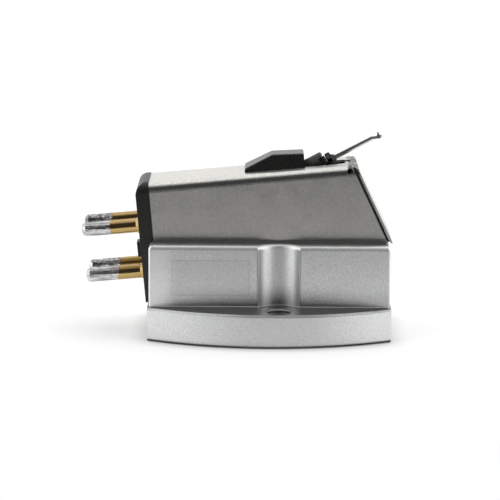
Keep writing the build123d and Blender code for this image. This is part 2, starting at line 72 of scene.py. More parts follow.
camera_data = bpy.data.cameras.new("camera")
camera_data.sensor_width = 36
camera_data.lens = 161.3
camera_data.clip_start = 0.01
camera = bpy.data.objects.new("camera", camera_data)
bpy.context.scene.collection.objects.link(camera)
turn = Matrix((right, up, -forward)).transposed()
camera.matrix_world = Matrix.Translation(stand) @ turn.to_4x4()
bpy.context.scene.camera = camera
bpy.context.scene.view_settings.view_transform = "Standard"
print("camera at", tuple(round(c, 4) for c in stand))

# %% [markdown]
# ## Writing shader trees in a line
# Every finish below is a small tree of nodes. Placing each node and link by hand takes many lines,
# so one helper places a node, and takes either a value or another node's output for each input.
# The sums that most trees need are built on it.

# %% Node helpers
def put(tree, kind, inputs=None, **settings):
    """A new node with its settings, its input values, and links from any outputs among them."""
    made = tree.nodes.new(kind)
    for key, value in settings.items():
        setattr(made, key, value)
    for key, value in (inputs or {}).items():
        if isinstance(value, bpy.types.NodeSocket):
            tree.links.new(value, made.inputs[key])
        else:
            made.inputs[key].default_value = value
    return made


def sums(tree, operation, *values):
    """The result of one sum, such as ADD or DIVIDE, of values or outputs."""
    return put(tree, "ShaderNodeMath", dict(enumerate(values)), operation=operation).outputs[0]


def times(tree, product, *others):
    """The product of two or more values or outputs."""
    for other in others:
        product = sums(tree, "MULTIPLY", product, other)
    return product


def split(tree, vector):
    """The X, Y and Z of a vector."""
    return put(tree, "ShaderNodeSeparateXYZ", {0: vector}).outputs


def length_of(tree, first, second):
    """The length of a flat vector with these two sides."""
    flat = put(tree, "ShaderNodeCombineXYZ", {0: first, 1: second}).outputs[0]
    return put(tree, "ShaderNodeVectorMath", {0: flat}, operation="LENGTH").outputs["Value"]


print("node helpers ready")

# %% [markdown]
# ## Blends and masks
# A finish is mostly one shade laid over another where a mask says so. A mask is a number from 0 to 1
# over the surface. It could be drawn as an image, but a smooth step of a height, a distance or a
# normal needs no image and stays sharp from close by.

# %% Blends and masks
def mix_value(tree, factor, low, high):
    """A value that goes from low to high with the factor."""
    return put(tree, "ShaderNodeMix", {0: factor, 2: low, 3: high}).outputs[0]


def mix_colour(tree, factor, low, high):
    """A colour that goes from low to high with the factor."""
    low = low if isinstance(low, bpy.types.NodeSocket) else (*low, 1)
    high = high if isinstance(high, bpy.types.NodeSocket) else (*high, 1)
    return put(tree, "ShaderNodeMix", {0: factor, 6: low, 7: high}, data_type="RGBA").outputs[2]


def laid_over(tree, colour, mask, share, shade):
    """The colour with a share of another colour, or grey shade, laid over it by the mask."""
    shade = shade if isinstance(shade, tuple) else (shade, shade, shade)
    return mix_colour(tree, times(tree, mask, share), colour, shade)


def ramp(tree, value, low, high):
    """A smooth step from 0 to 1 as the value goes from low to high."""
    step = put(tree, "ShaderNodeMapRange", {0: value, 1: low, 2: high}, interpolation_type="SMOOTHSTEP")
    return step.outputs[0]


def between(tree, value, low, high, soft):
    """A mask that is 1 between low and high, with soft edges."""
    rising = ramp(tree, value, low - soft, low + soft)
    falling = ramp(tree, value, high + soft, high - soft)
    return times(tree, rising, falling)


print("blends and masks ready")

# %% [markdown]
# ## Studio
# The metal shows its surroundings, so the studio decides how it looks. The bright parts of the pins
# and of the folded edge mirror a white surround and table, and the dark band in their middle mirrors
# the unlit side of the room, where the camera stands. The world is white with a dark patch on that
# side, and a little brighter to the left and right, where the soft boxes stand. The camera itself
# sees plain white.

# %% World with a dark side
world = bpy.data.worlds.new("studio")
bpy.context.scene.world = world
world.use_nodes = True
sky = world.node_tree
sky.nodes.clear()
ROOM_HALF_WIDTH, ROOM_HEIGHT, ROOM_EDGE, ROOM_START = 0.66, 1.0, (1.1, 0.88), (0.0, -0.1)
ROOM_DARK = (0.04, 0.04, 0.042)
FLANK_EDGE, FLANK_WHITE = (0.4, 0.72), (1.5, 1.5, 1.5)
WHITE = (1, 1, 1)
gaze = split(sky, put(sky, "ShaderNodeTexCoord").outputs["Generated"])
room_across = sums(sky, "DIVIDE", gaze["X"], ROOM_HALF_WIDTH)
room_up = sums(sky, "DIVIDE", gaze["Z"], ROOM_HEIGHT)
from_middle = length_of(sky, room_across, room_up)
dark_side = times(sky, ramp(sky, from_middle, *ROOM_EDGE), ramp(sky, gaze["Y"], *ROOM_START))
flank = ramp(sky, sums(sky, "ABSOLUTE", gaze["X"]), *FLANK_EDGE)
surround = mix_colour(sky, dark_side, mix_colour(sky, flank, WHITE, FLANK_WHITE), ROOM_DARK)
ray = put(sky, "ShaderNodeLightPath").outputs
seen = sums(sky, "MAXIMUM", ray["Is Camera Ray"], ray["Is Transmission Ray"])
sky_colour = mix_colour(sky, seen, surround, WHITE)
backdrop = put(sky, "ShaderNodeBackground", {"Color": sky_colour, "Strength": 1.0})
put(sky, "ShaderNodeOutputWorld", {"Surface": backdrop.outputs[0]})
print("world nodes:", len(sky.nodes))

# %% [markdown]
# ## Lamp
# A white surround alone casts hardly any shadow. A sun lamp would give the shadow a hard edge, so a
# large area lamp overhead gives it a soft one. Mirror rays don't see the lamp, because the metal would
# show it as a bright square.

# %% Overhead lamp
lamp_data = bpy.data.lights.new("overhead", "AREA")
lamp_data.shape = "RECTANGLE"
lamp_data.size = 0.34
lamp_data.size_y = 0.26
lamp_data.energy = 0.32
lamp = bpy.data.objects.new("overhead", lamp_data)
lamp.location = (0.05, 0.04, 0.36)
lamp.visible_glossy = False
bpy.context.scene.collection.objects.link(lamp)
print("lamp watts:", lamp_data.energy)

# %% [markdown]
# ## Table
# The cartridge stands on a white table that ends a little way in front of it. The table could be a
# curved sheet, but only its top is seen, so it is one flat face.

# %% Table
TABLE_NEAR, TABLE_FAR, TABLE_SIDE, TABLE_DROP = -0.036, 0.5, 0.4, -0.00002
table_mesh = bpy.data.meshes.new("table")
table_mesh.from_pydata([
    (-TABLE_SIDE, TABLE_NEAR, TABLE_DROP), (TABLE_SIDE, TABLE_NEAR, TABLE_DROP),
    (TABLE_SIDE, TABLE_FAR, TABLE_DROP), (-TABLE_SIDE, TABLE_FAR, TABLE_DROP),
], [], [(0, 1, 2, 3)])
table = bpy.data.objects.new("table", table_mesh)
bpy.context.scene.collection.objects.link(table)
print("table corners:", len(table_mesh.vertices))

# %% [markdown]
# ## Table paint
# The paint is not quite white, so that the shadow shows. A touch of glow, for the rays that see it
# directly or in metal, brings it up to the white of the background. A whiter paint would do that too,
# but it would also light the metal more from below. Close to the flange the glow fades, so the contact
# stays dark.

# %% Table paint
paint = bpy.data.materials.new("table_paint")
paint.use_nodes = True
tree = paint.node_tree
tree.nodes.clear()
TABLE_WHITE = 0.6
CONTACT_REACH = 0.0018
ray = put(tree, "ShaderNodeLightPath").outputs
seen = sums(tree, "MAXIMUM", ray["Is Camera Ray"], ray["Is Glossy Ray"])
seen = sums(tree, "MAXIMUM", seen, ray["Is Transmission Ray"])
open_air = put(tree, "ShaderNodeAmbientOcclusion", {"Distance": CONTACT_REACH}, samples=8).outputs["AO"]
glow = put(tree, "ShaderNodeEmission", {"Strength": times(tree, seen, open_air, 1 - TABLE_WHITE)})
matt = put(tree, "ShaderNodeBsdfDiffuse", {"Color": (TABLE_WHITE, TABLE_WHITE, TABLE_WHITE, 1)})
both = put(tree, "ShaderNodeAddShader", {0: matt.outputs[0], 1: glow.outputs[0]})
put(tree, "ShaderNodeOutputMaterial", {"Surface": both.outputs[0]})
table_mesh.materials.append(paint)
print("table paint nodes:", len(tree.nodes))

# %% [markdown]
# ## Shared effects
# Grain, brushed streaks, paler edges and painted corner shade turn up in many of the finishes.
# Each could be drawn again in every material. A node group is drawn once, and each material
# places it with its own numbers.

# %% Group maker
def shader_group(name, inputs, output, kind="NodeSocketFloat"):
    """A node group with named inputs (label: value) and one named output."""
    tree = bpy.data.node_groups.new(name, "ShaderNodeTree")
    for label, value in inputs.items():
        socket_kind = "NodeSocketVector" if isinstance(value, tuple) else "NodeSocketFloat"
        socket = tree.interface.new_socket(label, in_out="INPUT", socket_type=socket_kind)
        socket.default_value = value
    tree.interface.new_socket(output, in_out="OUTPUT", socket_type=kind)
    given = tree.nodes.new("NodeGroupInput").outputs
    result = tree.nodes.new("NodeGroupOutput").inputs[output]
    return tree, given, result


def placed(tree, group, inputs):
    """The one output of a group that is placed with its own values."""
    return put(tree, "ShaderNodeGroup", inputs, node_tree=group).outputs[0]


print("group maker ready")

# %% [markdown]
# ## Places in millimetres
# A noise needs a place on the surface. UV coordinates would need an unwrapped mesh. The object's own
# space doesn't, and in millimetres a grain of a tenth of a millimetre is the same size on every piece.

# %% Millimetres
millimetres, _, result = shader_group("millimetres", {}, "Place", "NodeSocketVector")
own_space = put(millimetres, "ShaderNodeTexCoord").outputs["Object"]
scaled = put(millimetres, "ShaderNodeVectorMath", {0: own_space, "Scale": 1 / MM}, operation="SCALE")
millimetres.links.new(scaled.outputs[0], result)


def own_place(tree):
    """The X, Y and Z of the surface, in millimetres."""
    return split(tree, placed(tree, millimetres, {}))


print("group:", millimetres.name)

# %% [markdown]
# ## Grain and streaks
# Blasting and moulding leave spots, and brushing or drawing leaves lines. Both could be images, but a
# noise has no seams and stays sharp from close by. Streaks are the same noise, squeezed more across
# the lines than along them, and a smooth step sets how sharp the spots or lines are.

# %% Grain and streaks
def about_half(tree, value, soft):
    """A smooth step from 0 to 1 as the value passes a half, from soft below to soft above."""
    return ramp(tree, value, sums(tree, "SUBTRACT", 0.5, soft), sums(tree, "ADD", 0.5, soft))


grain, given, result = shader_group("grain", {"Per mm": 6.0, "Detail": 3.0, "Soft": 0.25}, "Value")
spots = {"Vector": placed(grain, millimetres, {}), "Scale": given["Per mm"], "Detail": given["Detail"]}
noise = put(grain, "ShaderNodeTexNoise", spots).outputs[0]
grain.links.new(about_half(grain, noise, given["Soft"]), result)

streaks, given, result = shader_group("streaks", {"Stretch": (0.3, 12.0, 12.0), "Soft": 0.25}, "Value")
stretched = {0: placed(streaks, millimetres, {}), 1: given["Stretch"]}
drawn = put(streaks, "ShaderNodeVectorMath", stretched, operation="MULTIPLY").outputs[0]
noise = put(streaks, "ShaderNodeTexNoise", {"Vector": drawn, "Scale": 1.0, "Detail": 4.0}).outputs[0]
streaks.links.new(about_half(streaks, noise, given["Soft"]), result)
print("groups:", [group.name for group in bpy.data.node_groups])

# %% [markdown]
# ## Paler edges
# The edges of dark pieces are made paler. Pointiness finds edges too, but it needs a dense mesh.
# The bevel node rounds the normal near an edge, so the mask is where that normal and the true one
# disagree.

# %% Paler edges
paling, given, result = shader_group("pale_edges", {"Radius": 0.0001, "Start": 0.02, "Full": 0.2}, "Mask")
rounded = put(paling, "ShaderNodeBevel", {"Radius": given["Radius"]}, samples=6).outputs[0]
true_normal = put(paling, "ShaderNodeNewGeometry").outputs["Normal"]
agree = put(paling, "ShaderNodeVectorMath", {0: rounded, 1: true_normal}, operation="DOT_PRODUCT")
turned = sums(paling, "SUBTRACT", 1.0, agree.outputs["Value"])
paling.links.new(ramp(paling, turned, given["Start"], given["Full"]), result)
print("group:", paling.name)

# %% [markdown]
# ## Shade in inner corners
# Inner corners get painted shade. A mask could be drawn by hand for each, but ambient occlusion
# measures how closed in a point is, so it finds all of them.

# %% Shade in inner corners
corner_inputs = {"Reach": 0.001, "Start": 0.75, "Full": 0.3}
painted_corner_shade, given, result = shader_group("painted_corner_shade", corner_inputs, "Mask")
occlusion = put(painted_corner_shade, "ShaderNodeAmbientOcclusion", {"Distance": given["Reach"]}, samples=8)
openness = occlusion.outputs["AO"]
painted_corner_shade.links.new(ramp(painted_corner_shade, openness, given["Start"], given["Full"]), result)
print("group:", painted_corner_shade.name)

# %% [markdown]
# ## Materials
# A material starts as one Principled shader. A helper makes it with the values that are the same all
# over the piece, and the cells below add what changes over the surface. When a finish is ready, it
# goes on every solid whose slot in the CAD record has its name.

# %% Material helpers
node_slots = {row["node"]: row["material_slot"] for row in frame["record"]["subparts"]}
finishes = {}


def new_finish(slot_name, **constants):
    """The node tree and the shader of a new material for one slot."""
    material = bpy.data.materials.new(slot_name)
    material.use_nodes = True
    shader = material.node_tree.nodes["Principled BSDF"]
    for label, value in constants.items():
        shader.inputs[label.replace("_", " ")].default_value = value
    finishes[slot_name] = material
    return material.node_tree, shader


def feed(tree, shader, **outputs):
    """Links outputs to the shader's inputs of those names."""
    for label, output in outputs.items():
        tree.links.new(output, shader.inputs[label.replace("_", " ")])


def bump(tree, shader, height, depth):
    """Raises the surface by the height, depth metres at most."""
    raised = put(tree, "ShaderNodeBump", {"Height": height, "Distance": depth, "Strength": 1.0})
    tree.links.new(raised.outputs[0], shader.inputs["Normal"])


def facing(tree):
    """The X, Y and Z of the way that the surface faces."""
    return split(tree, put(tree, "ShaderNodeNewGeometry").outputs["Normal"])


def tipped(tree, normal):
    """How far the surface is from both upright and level, from 0 to a half."""
    return sums(tree, "ABSOLUTE", times(tree, normal["Y"], normal["Z"]))


print("slots:", sorted(set(node_slots.values())))

# %% [markdown]
# ## Bead-blasted aluminium
# The block is machined, then blasted with fine beads, which leaves a soft grey metal with a grain of
# about a tenth of a millimetre. One near-side field was masked during blasting and stays a little
# smoother and darker, with a line round it. The field could be a separate plate, but it has no
# thickness, so it is a mask made from the surface's own position. Inner corners get painted shade,
# apart from those at the block's top.

# %% Beads and the masked field
tree, shader = new_finish("block", Metallic=1.0)
at = own_place(tree)
normal = facing(tree)
BLOCK_TOP = 8.45
FIELD_X, FIELD_Z, FIELD_SIDE = (-9.41, -2.52), (4.0, 7.2), (-4.89, -4.91)
FIELD_LINE, FIELD_SOFT = 0.12, 0.05
CORNER_SHADE_REACH, CORNER_SHADE_HEIGHT = 0.0011, (BLOCK_TOP - 0.05, BLOCK_TOP - 0.3)


def field_mask(inset):
    """The masked field, drawn in by an inset from each edge."""
    inside_x = between(tree, at["X"], FIELD_X[0] + inset, FIELD_X[1] - inset, FIELD_SOFT)
    inside_z = between(tree, at["Z"], FIELD_Z[0] + inset, FIELD_Z[1] - inset, FIELD_SOFT)
    return times(tree, inside_x, inside_z, ramp(tree, at["Y"], *FIELD_SIDE))


field = field_mask(0.0)
field_line = sums(tree, "SUBTRACT", field, field_mask(FIELD_LINE))
beads = placed(tree, grain, {"Per mm": 9.0, "Detail": 2.0, "Soft": 0.3})
haze = placed(tree, grain, {"Per mm": 0.5, "Detail": 2.0, "Soft": 0.4})
corner_shade = times(tree, placed(tree, painted_corner_shade, {"Reach": CORNER_SHADE_REACH}), ramp(tree, at["Z"], *CORNER_SHADE_HEIGHT))
colour = mix_colour(tree, beads, (0.6, 0.61, 0.605), (0.82, 0.83, 0.825))
colour = laid_over(tree, colour, haze, 0.25, (0.6, 0.61, 0.605))
colour = laid_over(tree, colour, field, 0.25, (0.5, 0.51, 0.5))
colour = laid_over(tree, colour, field_line, 0.25, (0.35, 0.36, 0.35))
# painted shade in the inner corners
colour = laid_over(tree, colour, corner_shade, 0.55, 0.22)
print("block nodes so far:", len(tree.nodes))

# %% [markdown]
# ## Painted shade and highlight on the walls
# Painted shade darkens the ledge, the walls low down and the metal in and beside the grooves, and a
# painted highlight makes a bright line where wall and ledge meet. Each could be a material of its own on
# its own faces, but most of them fade out within a face, so each is a mask of height, distance or normal.

# %% Painted shade and highlight on the walls
FLANGE_TOP, MARK_SOFT = 2.95, 0.02
LEDGE_BAND, LEDGE_LEVEL = 0.05, (0.9, 0.98)
WALL_START, LOW_WALL, ROOT_LINE = (0.01, 0.03), 2.2, (0.04, 0.11)
GROOVE_SHADE, GROOVE_EDGE, GROOVE_MIDDLE = (1.1, 1.75), (1.98, 1.86), (1.0, 0.2)
SIDE_FACE, GROOVE_WALL = (4.3, 4.6), (4.7, 4.5)
aside = sums(tree, "ABSOLUTE", at["X"])
outward = sums(tree, "ABSOLUTE", at["Y"])
over_flange = sums(tree, "SUBTRACT", at["Z"], FLANGE_TOP)
wall = ramp(tree, over_flange, *WALL_START)
# painted shade low on the walls, on the ledge and in and beside the grooves, and a painted highlight on the root
# line
low_wall_shade = times(tree, wall, ramp(tree, over_flange, LOW_WALL, 0.0))
ledge_shade = between(tree, over_flange, -LEDGE_BAND, LEDGE_BAND, MARK_SOFT)
ledge_shade = times(tree, ramp(tree, normal["Z"], *LEDGE_LEVEL), ledge_shade)
root_line_highlight = between(tree, over_flange, *ROOT_LINE, MARK_SOFT)
groove_edge_shade = times(tree, ramp(tree, aside, *GROOVE_SHADE), ramp(tree, aside, *GROOVE_EDGE))
groove_edge_shade = times(tree, groove_edge_shade, wall, ramp(tree, outward, *SIDE_FACE))
groove_middle_shade = times(tree, ramp(tree, aside, *GROOVE_MIDDLE), wall, ramp(tree, outward, *GROOVE_WALL))
print("block nodes so far:", len(tree.nodes))

# %% [markdown]
# ## Painted shade and light at the screws and the flange
# The screw mouths get painted shade with a painted highlight on the rim, the rear end of the walls gets
# painted light, and the flange gets painted shade along its foot and in the middle. These are masks too.
# Once all masks are ready, one loop lays them over each other, each with its share and a grey shade.

# %% Painted shade and light at the screws and the flange
SCREW_Y, BORE_MOUTH, BORE_RIM, RIM_HEIGHT = 6.35, 1.16, (1.04, 1.1), (2.8, 2.84)
MOUTH_DARK, MOUTH_DEEP_SHARE = (2.56, 2.68), 0.2
REAR_END, FOOT_EDGE = (-8.6, -10.6), (0.32, 0.14)
MIDDLE_SHADE_REACH, MIDDLE_SHADE_HEIGHT = (8.0, 2.0), (2.9, 2.8)
from_screw = length_of(tree, at["X"], sums(tree, "SUBTRACT", outward, SCREW_Y))
# painted shade in the screw mouths, and a painted highlight on their rims
mouth_shade = ramp(tree, from_screw, BORE_MOUTH + MARK_SOFT, BORE_MOUTH - MARK_SOFT)
mouth_shade = times(tree, mouth_shade, mix_value(tree, ramp(tree, at["Z"], *MOUTH_DARK), MOUTH_DEEP_SHARE, 1.0))
rim_highlight = times(tree, between(tree, from_screw, *BORE_RIM, MARK_SOFT), ramp(tree, at["Z"], *RIM_HEIGHT))
# painted light on the rear end of the walls, and painted shade in the flange's middle and along its foot
rear_end_light = times(tree, wall, ramp(tree, at["X"], *REAR_END))
middle_shade = times(tree, ramp(tree, aside, *MIDDLE_SHADE_REACH), ramp(tree, at["Z"], *MIDDLE_SHADE_HEIGHT))
foot_shade = ramp(tree, at["Z"], *FOOT_EDGE)
# the loop lays all the painted shade and painted highlights over the colour
for mask, share, shade in (
    (low_wall_shade, 0.5, 0.3), (ledge_shade, 0.65, 0.14), (groove_edge_shade, 0.65, 0.2), (root_line_highlight, 0.9, 0.95),
    (mouth_shade, 0.9, 0.03), (rim_highlight, 0.9, 0.95), (middle_shade, 0.35, 0.42), (groove_middle_shade, 0.3, 0.3),
    (rear_end_light, 0.6, 0.97), (foot_shade, 0.8, 0.12),
):
    colour = laid_over(tree, colour, mask, share, shade)
print("block nodes so far:", len(tree.nodes))

# %% [markdown]
# ## Broken and rounded edges
# The upper edges were broken by hand and get a painted highlight. The flange's edge has a round that the
# beads have blurred, and painted shade darkens its middle. The bevel node finds any edge, but these
# rounds are real faces of the solid, so a normal that is neither upright nor level is enough.

# %% Edges of the block
ROUNDED, UPPER_EDGES, FLANGE_EDGE, EDGE_SHADE_REACH = (0.02, 0.25), (5.0, 6.0), (3.2, 3.0), (6.0, 2.0)
rounded_edge = ramp(tree, tipped(tree, normal), *ROUNDED)
upper_edge_highlight = times(tree, rounded_edge, ramp(tree, at["Z"], *UPPER_EDGES))
flange_edge = times(tree, rounded_edge, ramp(tree, at["Z"], *FLANGE_EDGE))
flange_edge_shade = times(tree, flange_edge, ramp(tree, aside, *EDGE_SHADE_REACH))
# painted highlight on the upper edges
colour = laid_over(tree, colour, upper_edge_highlight, 0.8, (0.95, 0.96, 0.95))
# painted shade in the middle of the flange's edge
colour = laid_over(tree, colour, flange_edge_shade, 0.55, 0.3)
rough = mix_value(tree, beads, 0.44, 0.38)
rough = mix_value(tree, upper_edge_highlight, rough, 0.48)
rough = mix_value(tree, flange_edge, rough, 0.7)
rough = mix_value(tree, field, rough, 0.4)
feed(tree, shader, Base_Color=colour, Roughness=rough)
bump(tree, shader, sums(tree, "ADD", root_line_highlight, times(tree, beads, 0.1)), depth=0.00005)
print("block nodes:", len(tree.nodes))

# %% [markdown]
# ## Satin steel sheet
# The cover is folded from thin sheet with a fine brushed grain along its length. Streaks in colour and
# roughness blur the mirror image along one direction, as brushing does, and specks and a soft mottle
# make the grain uneven. The press has burnished the long bends, which are found by normals between
# upright and level.

# %% Brushed sheet
tree, shader = new_finish("cover", Metallic=1.0)
at = own_place(tree)
DARKENING_HEIGHT, BEND_SLOPE = (14.0, 8.6), (0.12, 0.35)
brushed = placed(tree, streaks, {"Stretch": (1.5, 8.0, 8.0), "Soft": 0.35})
haze = placed(tree, grain, {"Per mm": 0.8, "Detail": 4.0, "Soft": 0.35})
specks = placed(tree, grain, {"Per mm": 7.0, "Detail": 2.0, "Soft": 0.2})
mottle = placed(tree, grain, {"Per mm": 2.4, "Detail": 3.0, "Soft": 0.25})
darker_below = ramp(tree, at["Z"], *DARKENING_HEIGHT)
colour = mix_colour(tree, brushed, (0.83, 0.822, 0.782), (0.95, 0.94, 0.898))
colour = laid_over(tree, colour, specks, 0.5, (0.56, 0.55, 0.52))
colour = laid_over(tree, colour, mottle, 0.42, (0.58, 0.565, 0.52))
# the sheet is made darker towards the bottom
colour = laid_over(tree, colour, darker_below, 0.42, (0.36, 0.355, 0.335))
rough = sums(tree, "ADD", mix_value(tree, brushed, 0.37, 0.33), times(tree, haze, 0.05))
bends = ramp(tree, tipped(tree, facing(tree)), *BEND_SLOPE)
rough = mix_value(tree, bends, rough, 0.2)
print("cover nodes so far:", len(tree.nodes))

# %% [markdown]
# ## Fold and reliefs
# The tight fold at the front is made darker and blotched, and painted shade round the round reliefs at
# its ends makes them look larger. The fold could be a piece of its own, but the blotches fade out into
# the sheet, so they are masks too. The housing is tilted, so they are measured along it and above it.

# %% Fold and reliefs
HOUSING_TILT = math.radians(5.2)
FOLD_ALONG, FOLD_UP, FOLD_CORNER = (7.2, 7.65), (13.9, 14.3), (1.6, 2.8)
RELIEF_ALONG, RELIEF_UP = 7.5, 14.34
RELIEF_SHADE_LONG, RELIEF_SHADE_HIGH, RELIEF_SHADE_EDGE = 0.2, 0.34, (1.2, 0.9)
SEAM_SHADE_REACH = 0.0003
level_share, tilt_share = math.cos(HOUSING_TILT), math.sin(HOUSING_TILT)
along = sums(tree, "ADD", times(tree, at["X"], level_share), times(tree, at["Z"], tilt_share))
above = sums(tree, "SUBTRACT", times(tree, at["Z"], level_share), times(tree, at["X"], tilt_share))
to_corner = ramp(tree, sums(tree, "ABSOLUTE", at["Y"]), *FOLD_CORNER)
fold = times(tree, ramp(tree, along, *FOLD_ALONG), ramp(tree, above, *FOLD_UP))
blotch = placed(tree, grain, {"Per mm": 3.2, "Detail": 4.0, "Soft": 0.1})
blotched_fold = times(tree, fold, mix_value(tree, blotch, 0.45, 1.0), mix_value(tree, to_corner, 0.95, 1.0))
off_along = sums(tree, "DIVIDE", sums(tree, "SUBTRACT", along, RELIEF_ALONG), RELIEF_SHADE_LONG)
off_up = sums(tree, "DIVIDE", sums(tree, "SUBTRACT", above, RELIEF_UP), RELIEF_SHADE_HIGH)
relief_shade = times(tree, ramp(tree, length_of(tree, off_along, off_up), *RELIEF_SHADE_EDGE), to_corner)
corner_shade = placed(tree, painted_corner_shade, {"Reach": SEAM_SHADE_REACH})
# the fold is made darker and blotched
colour = mix_colour(tree, blotched_fold, colour, (0.045, 0.045, 0.04))
# painted shade round the reliefs makes them look larger
colour = laid_over(tree, colour, relief_shade, 0.8, (0.06, 0.06, 0.057))
# painted shade in the inner corners of the seams
colour = laid_over(tree, colour, corner_shade, 0.7, (0.2, 0.2, 0.19))
feed(tree, shader, Base_Color=colour, Roughness=mix_value(tree, blotched_fold, rough, 0.6))
bump(tree, shader, haze, depth=0.000004)
print("cover nodes:", len(tree.nodes))

# %% [markdown]
# ## Black mouldings
# The terminal plate and the generator's carrier are black mouldings. The plate is matt, and the
# carrier has smoother faces that mirror the white surround at a low angle. Both are made paler at
# their edges, so one function makes both, and later a black film too.

# %% Black mouldings
def black_moulding(slot_name, dark, pale, matt, gloss, pale_share, depth):
    """A black plastic with a fine grain, from gloss to matt, and paler edges."""
    tree, shader = new_finish(slot_name, Metallic=0.0)
    pores = placed(tree, grain, {"Per mm": 7.0, "Detail": 3.0, "Soft": 0.3})
    flow = placed(tree, grain, {"Per mm": 0.6, "Detail": 2.0, "Soft": 0.35})
    edge = placed(tree, paling, {"Radius": 0.00008})
    colour = mix_colour(tree, flow, dark, pale)
    colour = laid_over(tree, colour, edge, pale_share, (0.13, 0.13, 0.125))
    feed(tree, shader, Base_Color=colour, Roughness=mix_value(tree, pores, gloss, matt))
    bump(tree, shader, pores, depth)
    print(slot_name, "nodes:", len(tree.nodes))


black_moulding("plate", dark=(0.008, 0.009, 0.008), pale=(0.016, 0.017, 0.014),
               matt=0.46, gloss=0.38, pale_share=0.6, depth=0.000001)
black_moulding("carrier", dark=(0.012, 0.013, 0.012), pale=(0.022, 0.023, 0.02),
               matt=0.33, gloss=0.25, pale_share=0.2, depth=0.0000003)

# %% [markdown]
# ## Gold pins with tinned ends
# The pins are turned brass with a gold plating. Their ends have been dipped in solder, which leaves a
# bright, streaky silver coat with an uneven edge. The edge could be a cut in the mesh, but the coat
# is as thin as the plating, so a mask along the pin with some wobble is closer to the real thing.
# The lower row was dipped deeper. The far column's tin has more dark pits, which are partly real pits
# and partly a painted reflection of the near pins.

# %% Gold pins with tinned ends
tree, shader = new_finish("pin", Metallic=1.0)
at = own_place(tree)
TIN_EDGE, TIN_WOBBLE, TIN_SOFT = -15.05, 0.35, 0.06
LOWER_ROW, LOWER_ROW_FURTHER, FAR_COLUMN = (7.6, 7.2), 0.74, (-0.5, 0.5)
wobble = placed(tree, grain, {"Per mm": 1.1, "Detail": 2.0, "Soft": 0.35})
drag = placed(tree, streaks, {"Stretch": (0.5, 5.0, 5.0), "Soft": 0.2})
fine = placed(tree, streaks, {"Stretch": (0.4, 16.0, 16.0), "Soft": 0.3})
pits = placed(tree, grain, {"Per mm": 3.2, "Detail": 3.0, "Soft": 0.08})
tin_edge = sums(tree, "ADD", TIN_EDGE, times(tree, wobble, TIN_WOBBLE))
further = times(tree, ramp(tree, at["Z"], *LOWER_ROW), LOWER_ROW_FURTHER)
tin_edge = sums(tree, "ADD", tin_edge, further)
tinned = ramp(tree, sums(tree, "SUBTRACT", tin_edge, at["X"]), -TIN_SOFT, TIN_SOFT)
pits_and_reflection = times(tree, pits, mix_value(tree, ramp(tree, at["Y"], *FAR_COLUMN), 0.1, 0.8))
gold = mix_colour(tree, fine, (0.44, 0.29, 0.11), (0.6, 0.43, 0.19))
tin = mix_colour(tree, drag, (0.4, 0.4, 0.4), (0.88, 0.87, 0.86))
# dark pits, more on the far column, partly a painted reflection of the near pins
tin = mix_colour(tree, pits_and_reflection, tin, (0.1, 0.1, 0.11))
rough = mix_value(tree, tinned, mix_value(tree, fine, 0.26, 0.18), mix_value(tree, drag, 0.3, 0.12))
feed(tree, shader, Base_Color=mix_colour(tree, tinned, gold, tin), Roughness=rough)
bump(tree, shader, times(tree, drag, tinned), depth=0.000035)
print("pin nodes:", len(tree.nodes))

# %% [markdown]
# ## Small metals
# The yoke is nickel plated, the magnet is ground, the pole sleeve is blackened, and the wire, its
# screw and the cantilever are drawn or turned. They share one recipe: metal with streaks along a
# direction, in two shades and two roughnesses. The cantilever has painted shade on its upper side,
# which is found by the normal.

# %% Small metals
UPPER_SIDE = (0.0, 0.5)


def streaked_metal(slot_name, dark, pale, smooth, coarse, stretch, depth, metal=1.0, top_shade=None):
    """A metal in two shades and two roughnesses, drawn along one direction, perhaps with painted shade above."""
    tree, shader = new_finish(slot_name, Metallic=metal)
    lines = placed(tree, streaks, {"Stretch": stretch, "Soft": 0.3})
    spots = placed(tree, grain, {"Per mm": 3.0, "Detail": 2.0, "Soft": 0.3})
    colour = mix_colour(tree, lines, dark, pale)
    if top_shade is not None:
        # painted shade on the upper side
        colour = laid_over(tree, colour, ramp(tree, facing(tree)["Z"], *UPPER_SIDE), 1.0, top_shade)
    feed(tree, shader, Base_Color=colour, Roughness=mix_value(tree, spots, smooth, coarse))
    bump(tree, shader, lines, depth)
    print(slot_name, "nodes:", len(tree.nodes))


streaked_metal("yoke", dark=(0.6, 0.58, 0.53), pale=(0.72, 0.7, 0.65),
               smooth=0.16, coarse=0.26, stretch=(0.8, 14.0, 0.8), depth=0.000002)
streaked_metal("magnet", dark=(0.2, 0.2, 0.21), pale=(0.33, 0.33, 0.34),
               smooth=0.3, coarse=0.45, stretch=(9.0, 0.7, 9.0), depth=0.000003)
streaked_metal("pole", dark=(0.011, 0.011, 0.01), pale=(0.027, 0.027, 0.026), metal=0.3,
               smooth=0.34, coarse=0.5, stretch=(0.8, 8.0, 8.0), depth=0.000002)
streaked_metal("steel_wire", dark=(0.5, 0.5, 0.5), pale=(0.66, 0.66, 0.65),
               smooth=0.2, coarse=0.32, stretch=(0.5, 20.0, 20.0), depth=0.000001)
streaked_metal("screw", dark=(0.4, 0.4, 0.4), pale=(0.56, 0.56, 0.55),
               smooth=0.24, coarse=0.36, stretch=(8.0, 1.0, 8.0), depth=0.000002)
streaked_metal("cantilever", dark=(0.5, 0.5, 0.49), pale=(0.68, 0.68, 0.66), top_shade=0.12,
               smooth=0.28, coarse=0.4, stretch=(1.0, 14.0, 6.0), depth=0.000002)

# %% [markdown]
# ## Rubber and lacquer
# The damper is soft black rubber, and the former is lacquered. Each could be one plain colour, but a
# grain in two shades and two roughnesses keeps their small faces from looking flat.

